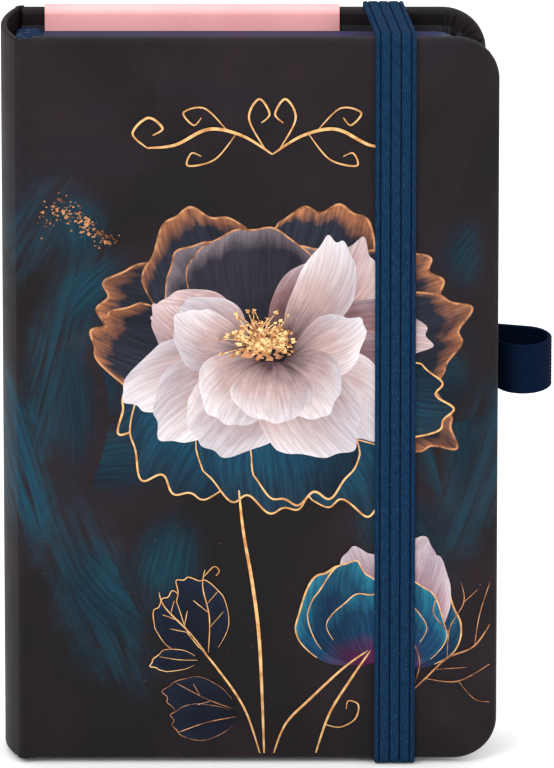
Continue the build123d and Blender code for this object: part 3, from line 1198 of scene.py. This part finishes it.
def curve(points, steps=14):
    line = []
    count = len(points)
    for k in range(count - 1):
        ends = [points[max(0, min(count - 1, k + d))] for d in (-1, 0, 1, 2)]
        for j in range(steps):
            line.append(tuple(between(*axis, j / steps) for axis in zip(*ends)))
    return line + [points[-1]]


def lines(name, mat, drawn):
    verts, faces = [], []
    artLevel[0] += 1
    for width, points in drawn:
        foilStrip(verts, faces, curve(points), width * mm, artSet["raise"])
    makePiece(name, verts, faces, "front_cover", [mat], smooth=False)


def dots(name, mat, spots):
    verts, faces, sides = [], [], artSet["dotSides"]
    artLevel[0] += 1
    for x, z, size, turn in spots:
        first = len(verts)
        verts.append(onCover(x, z, artSet["raise"]))
        for k in range(sides):
            a = turn + 2 * pi * k / sides
            r = size * (0.75 + 0.25 * sin(3 * a + x * 7))
            verts.append(onCover(x + r * cos(a), z + r * sin(a) * artSet["dotFlat"]))
        faces += [(first, first + 1 + k, first + 1 + (k + 1) % sides) for k in range(sides)]
    makePiece(name, verts, faces, "front_cover", [mat], smooth=False)


gold = foil("goldFoil", (0.80, 0.47, 0.20), (0.50, 0.23, 0.08))
copper = foil("copperFoil", (0.52, 0.24, 0.11), (0.16, 0.06, 0.03))
ivory = paintedPetal("ivoryPetal", (0.075, 0.036, 0.040), (0.47, 0.33, 0.31), (0.70, 0.65, 0.66),
                     shade=0.40, streak=0.42, glow=0.50)
blush = paintedPetal("blushPetal", (0.055, 0.022, 0.026), (0.35, 0.19, 0.175), (0.64, 0.50, 0.48),
                     shade=0.75, streak=0.6, glow=0.6)
mauve = paintedPetal("mauvePetal", (0.006, 0.007, 0.014), (0.022, 0.020, 0.030), (0.19, 0.15, 0.165),
                     shade=0.5, streak=0.6, glow=0.80)
ember = paintedPetal("emberPetal", (0.005, 0.010, 0.018), (0.018, 0.022, 0.034), (0.40, 0.155, 0.07),
                     shade=0.6, streak=0.85, glow=0.86)
teal = paintedPetal("tealPetal", (0.002, 0.010, 0.020), (0.005, 0.052, 0.092), (0.008, 0.030, 0.050),
                    shade=0.8, streak=0.85, glow=0.70)
budBlue = paintedPetal("budPetal", (0.13, 0.010, 0.075), (0.005, 0.050, 0.110), (0.016, 0.17, 0.25),
                       shade=0.75, streak=0.8, glow=0.7)
budPink = paintedPetal("budPinkPetal", (0.24, 0.02, 0.10), (0.40, 0.21, 0.25), (0.74, 0.62, 0.62),
                       shade=0.6, streak=0.5)
shadowLeaf = paintedPetal("shadowLeaf", (0.002, 0.018, 0.032), (0.004, 0.042, 0.066), (0.004, 0.014, 0.024),
                          shade=0.75, streak=0.9, fade=0.9)
nightLeaf = paintedPetal("nightLeaf", (0.0045, 0.0055, 0.012), (0.005, 0.009, 0.022), (0.007, 0.015, 0.034),
                         shade=0.5, streak=0.8)

# each petal: root x and z in mm, direction, length, half width, roundness, ruffle, seed, bend
backLeaves = [
    (-43, 55, 62, 40, 10, 0.3, 0.03, 1, 12), (-42, 56, 20, 26, 9, 0.3, 0.03, 2, -16),
    (-38, 50, 88, 46, 8, 0.3, 0.03, 3, 16), (-42, 82, 58, 26, 8, 0.3, 0.03, 4, -14),
    (-28, 44, 232, 30, 9, 0.3, 0.03, 5, 16), (-26, 46, 262, 34, 8, 0.3, 0.03, 6, -18),
    (-40, 46, 300, 30, 10, 0.3, 0.03, 7, 14), (39, 42, 116, 40, 8, 0.3, 0.03, 8, -12),
    (34, 46, 84, 46, 8, 0.3, 0.03, 9, 8), (38, 70, 148, 26, 10, 0.3, 0.03, 10, 16),
    (16, 58, 296, 26, 10, 0.3, 0.03, 11, 10), (30, 92, 55, 22, 9, 0.3, 0.03, 12, -12),
    (-16, 52, 250, 26, 9, 0.3, 0.03, 13, 12), (-36, 96, 100, 20, 9, 0.3, 0.03, 14, 10),
]
emberShapes = [
    (-7, 82, 152, 27, 10, 0.30, 0.06, 21, 6), (-8, 78, 172, 26, 9, 0.30, 0.06, 22, -8),
    (-6, 84, 124, 26, 11, 0.30, 0.05, 23, -8), (1, 84, 58, 27, 11, 0.30, 0.06, 24, 8),
    (3, 82, 34, 30, 9, 0.30, 0.06, 25, -6), (5, 80, 8, 30, 10, 0.30, 0.07, 26, 6),
    (5, 76, -16, 29, 9, 0.30, 0.07, 27, -8),
]
tealShapes = [
    (-5, 77, 194, 25, 9, 0.30, 0.08, 31, 12), (-5, 76, 222, 27, 12, 0.30, 0.09, 32, 10),
    (2, 75, 314, 29, 12, 0.30, 0.09, 34, -10), (-1, 75, 262, 25, 12, 0.30, 0.09, 33, 6),
    (5, 77, 336, 27, 9, 0.30, 0.08, 35, 8), (1, 75, 288, 24, 10, 0.30, 0.08, 36, -6),
]
mauveShapes = [(-6, 84, 112, 20, 10, 0.34, 0.03, 41, 10), (-1, 84, 68, 19, 10, 0.34, 0.03, 42, -10),
               (-4, 83, 92, 22, 12, 0.32, 0.03, 43, 0)]
blushShapes = [
    (-7, 82, 140, 17, 6.0, 0.34, 0.05, 51, 14), (2, 82, 44, 24, 7.0, 0.34, 0.06, 52, 10),
    (-8, 80, 160, 17, 5.5, 0.34, 0.05, 53, -12), (3, 81, 16, 25, 7.0, 0.34, 0.06, 54, -8),
    (3, 79, 346, 22, 8.0, 0.34, 0.06, 55, 12), (0, 83, 62, 20, 5.5, 0.34, 0.05, 56, -12),
]
ivoryShapes = [
    (-5, 79, 188, 24, 7.0, 0.36, 0.04, 61, 10), (2, 83, 52, 22, 5.5, 0.36, 0.05, 62, 14),
    (-5, 78, 212, 21, 8.0, 0.36, 0.05, 63, 6), (3, 78, 330, 20, 8.5, 0.36, 0.05, 64, -10),
    (-6, 82, 136, 14, 5.0, 0.36, 0.04, 65, 10), (-3, 78, 244, 19, 9.0, 0.36, 0.05, 66, -6),
    (1, 78, 298, 20, 9.5, 0.36, 0.05, 67, 6), (-6, 81, 168, 14, 6.0, 0.36, 0.04, 68, -14),
    (3, 80, 14, 14, 6.0, 0.36, 0.05, 71, 12), (-3, 79, 226, 14, 7.5, 0.38, 0.04, 69, 10),
    (1, 79, 318, 13, 7.0, 0.38, 0.04, 72, -8), (-1, 79, 270, 12, 7.5, 0.38, 0.04, 70, 4),
]
budLower = [
    (17, 21, 132, 19, 8.5, 0.34, 0.05, 81, -22), (19, 21, 40, 19, 8.5, 0.34, 0.05, 82, 22),
]
budInner = [
    (18, 22, 76, 24, 8.0, 0.36, 0.04, 83, -6), (19, 22, 58, 22, 7.0, 0.36, 0.04, 84, 8),
    (18, 22, 94, 21, 6.5, 0.36, 0.04, 85, 6),
]
budOuter = [
    (17, 20, 118, 20, 7.5, 0.36, 0.04, 86, -16), (19, 20, 56, 17, 8.0, 0.36, 0.04, 87, 14),
    (18, 20, 88, 14, 9.0, 0.38, 0.04, 88, 4),
]

petals("shadowLeaves", shadowLeaf, backLeaves)
petals("emberPetals", ember, emberShapes, copper, 0.38 * mm)
petals("tealPetals", teal, tealShapes, gold, 0.46 * mm, 0.4)
petals("mauvePetals", mauve, mauveShapes, copper, 0.30 * mm)
petals("blushPetals", blush, blushShapes)
petals("ivoryPetals", ivory, ivoryShapes)

stamenGold = foil("stamenFoil", (0.92, 0.62, 0.28), (0.34, 0.12, 0.035), 1300.0)
stamenSet = {   # lengths in mm
    "middle": (-2.6, 84.0),
    "threads": 46,
    "threadWide": 0.16,
    "threadReach": (3.0, 8.2),
    "fan": (-35, 215),   # degrees
    "sway": 0.8,
    "rootSpread": 1.5,
    "tipSize": (0.42, 0.8),
    "grains": 60,
    "reach": 4.6,
    "grainSize": (0.3, 0.7),
    "shadowSize": (0.5, 1.1),
}


def stamenArt():
    dice = random.Random(7)
    midX, midZ = stamenSet["middle"]
    threads, tips, dark = [], [], []
    sway, spread = stamenSet["sway"], stamenSet["rootSpread"]
    for _ in range(stamenSet["threads"]):
        turn = radians(dice.uniform(*stamenSet["fan"]))
        reach = dice.uniform(*stamenSet["threadReach"])
        x, z = midX + reach * cos(turn), midZ - 2.5 + reach * 0.85 * sin(turn) + 1.2
        bend = ((midX + x) / 2 + dice.uniform(-sway, sway), (midZ + z) / 2 - 0.6)
        root = (midX + dice.uniform(-spread, spread), midZ - 3.2)
        threads.append((stamenSet["threadWide"], [root, bend, (x, z)]))
        tips.append((x, z, dice.uniform(*stamenSet["tipSize"]), dice.uniform(0, 3)))
    for _ in range(stamenSet["grains"]):
        turn, reach = dice.uniform(0, 2 * pi), stamenSet["reach"] * math.sqrt(dice.random())
        x, z = midX + reach * cos(turn), midZ - 0.6 + 0.7 * reach * sin(turn)
        tips.append((x, z, dice.uniform(*stamenSet["grainSize"]), dice.uniform(0, 3)))
        x, z = midX + 1.1 * reach * cos(turn + 1), midZ - 1.0 + 0.8 * reach * sin(turn + 1)
        dark.append((x, z, dice.uniform(*stamenSet["shadowSize"]), dice.uniform(0, 3)))
    dots("stamenShadow", copper, dark)
    lines("stamenThreads", stamenGold, threads)
    dots("stamenTips", stamenGold, tips)


stamenArt()
petals("budLowerPetals", budBlue, budLower, gold, 0.34 * mm)
petals("budInnerPetals", budPink, budInner)
petals("budOuterPetals", budBlue, budOuter, gold, 0.30 * mm)

stems = [
    (0.62, [(-7, 54), (-6.2, 46), (-4.6, 36), (-3.4, 26), (-2.8, 14), (-2.4, 1.5)]),
    (0.46, [(16.5, 22.5), (12, 19), (6, 13), (1.5, 8), (-0.9, 1.5)]),
    (0.46, [(17, 22.5), (13.5, 17), (9.5, 10), (6.8, 1.5)]),
    (0.40, [(-16.5, 26), (-11, 19), (-6, 11), (-3.0, 1.5)]),
]
leafShapes = [
    (-13, 22, 132, 13.5, 4.6, 0.28, 0.06, 91, -8), (-12.5, 22, 92, 15.5, 4.4, 0.30, 0.05, 92, 14),
    (-14.5, 20.5, 176, 8.5, 2.2, 0.30, 0.05, 93, 8),
]
ghostShapes = [(-8, 11, 158, 13, 3.9, 0.28, 0.05, 94, 8), (-7.5, 9.5, 192, 12, 3.6, 0.28, 0.05, 95, -8)]
leafLines = [
    (0.26, [(-13, 22), (-16, 26), (-20.5, 31), (-21.6, 34)]), (0.16, [(-16, 26), (-19.6, 26.8)]),
    (0.16, [(-18, 28.4), (-21, 29.6)]), (0.16, [(-17, 27.2), (-16.4, 30.4)]),
    (0.14, [(-19.4, 30), (-18.8, 32.4)]),
    (0.22, [(-12.6, 22), (-12.4, 29), (-13.6, 35), (-13.2, 38.4)]), (0.15, [(-12.4, 27), (-9.8, 30.2)]),
    (0.15, [(-12.6, 30), (-15.4, 32.4)]), (0.15, [(-12.9, 31.6), (-10.8, 34.2)]),
    (0.22, [(-13.4, 37), (-11.6, 39), (-10.6, 38.2), (-11.2, 37.2)]),
    (0.15, [(-14.5, 20.6), (-18, 20.7), (-21.5, 21.3)]),
    (0.28, [(8.6, 8.0), (11.4, 7.4), (14.2, 9.0), (14.8, 11.8), (13.0, 12.6), (12.6, 11.0)]),
]
faintLines = [
    (0.16, [(-8, 11), (-13, 13), (-19, 16.4)]), (0.12, [(-12, 12.6), (-14.6, 11.8)]),
    (0.12, [(-14, 13.4), (-15.4, 16)]), (0.14, [(-7.5, 9.5), (-13, 8.3), (-18, 6.4)]),
]
twigs = [
    (0.34, [(22, 12), (27, 17), (31, 21), (36, 23.5), (39.5, 29)]),
    (0.22, [(27, 17), (33, 16.5), (39, 20)]), (0.20, [(31, 21), (31.5, 27), (34, 32), (33.5, 36)]),
    (0.20, [(31.4, 26), (28.5, 30), (29.5, 34)]), (0.18, [(36, 23.5), (37, 30), (39.4, 38)]),
    (0.16, [(33, 16.6), (36, 13), (39, 12.4)]), (0.16, [(24.5, 14.5), (26, 20), (24.5, 25)]),
    (0.14, [(34, 32), (36.5, 34.5)]), (0.14, [(28.8, 18.8), (34.5, 19.2)]),
]
lines("stems", gold, stems)
petals("ghostLeafPetals", nightLeaf, ghostShapes, copper, 0.15 * mm, 0.1)
petals("leafPetals", nightLeaf, leafShapes, gold, 0.24 * mm, 0.1)
lines("leafLines", gold, leafLines)
lines("faintLeafLines", copper, faintLines)
lines("twigs", copper, twigs)


def flourish():
    drawn = []
    middleX, middleZ = -0.9, 121.5
    for way in (-1, 1):
        def at(dx, dz):
            return middleX + way * dx, middleZ + dz
        sweep = [at(0, -2.4), at(5.5, 1.2), at(11.5, 2.4), at(17.5, -0.6), at(22.6, -1.2)]
        curl = [at(22.6, -1.2), at(25.2, 1.6), at(22.4, 4.6), at(19.8, 2.6), at(21.6, 1.2)]
        drawn += [(0.62, sweep), (0.46, curl)]
        drawn.append((0.40, [at(1.2, -1.6), at(4.2, 4.4), at(2.4, 8.2), at(0.5, 5.4), at(2.0, 3.6)]))
        drawn.append((0.34, [at(8.0, 2.0), at(12.2, 6.4), at(16.0, 5.6), at(14.2, 3.2), at(12.8, 4.6)]))
        drawn.append((0.34, [at(6.6, 1.4), at(10.4, -3.4), at(15.2, -4.6), at(14.6, -2.2), at(12.8, -2.8)]))
    lines("goldFlourish", gold, drawn)


flourish()


speckleSet = {   # mm
    "trail": 210,
    "start": (-43.2, 105.5),
    "along": 13.5,
    "rise": 2.8,
    "spread": (0.6, 1.5),
    "size": (0.06, 0.34),
    "strays": 40,
    "strayArea": ((-44, 39), (8, 100)),
    "straySize": (0.05, 0.12),
}


def speckles():
    dice = random.Random(11)
    spots = []
    startX, startZ = speckleSet["start"]
    acrossSpread, upSpread = speckleSet["spread"]
    for _ in range(speckleSet["trail"]):
        t = dice.random()
        x = startX + speckleSet["along"] * t ** 0.8 + dice.gauss(0, acrossSpread)
        z = startZ + speckleSet["rise"] * sin(t * 5.5) + dice.gauss(0, upSpread - 0.6 * t)
        size = dice.uniform(*speckleSet["size"]) * (1 if dice.random() < 0.85 else 1.7)
        spots.append((x, z, size, dice.uniform(0, 3)))
    across, up = speckleSet["strayArea"]
    for _ in range(speckleSet["strays"]):
        spots.append((dice.uniform(*across), dice.uniform(*up), dice.uniform(*speckleSet["straySize"]), 0))
    dots("copperSpeckles", copper, spots)


speckles()
print("picture made", artLevel[0], "layers")
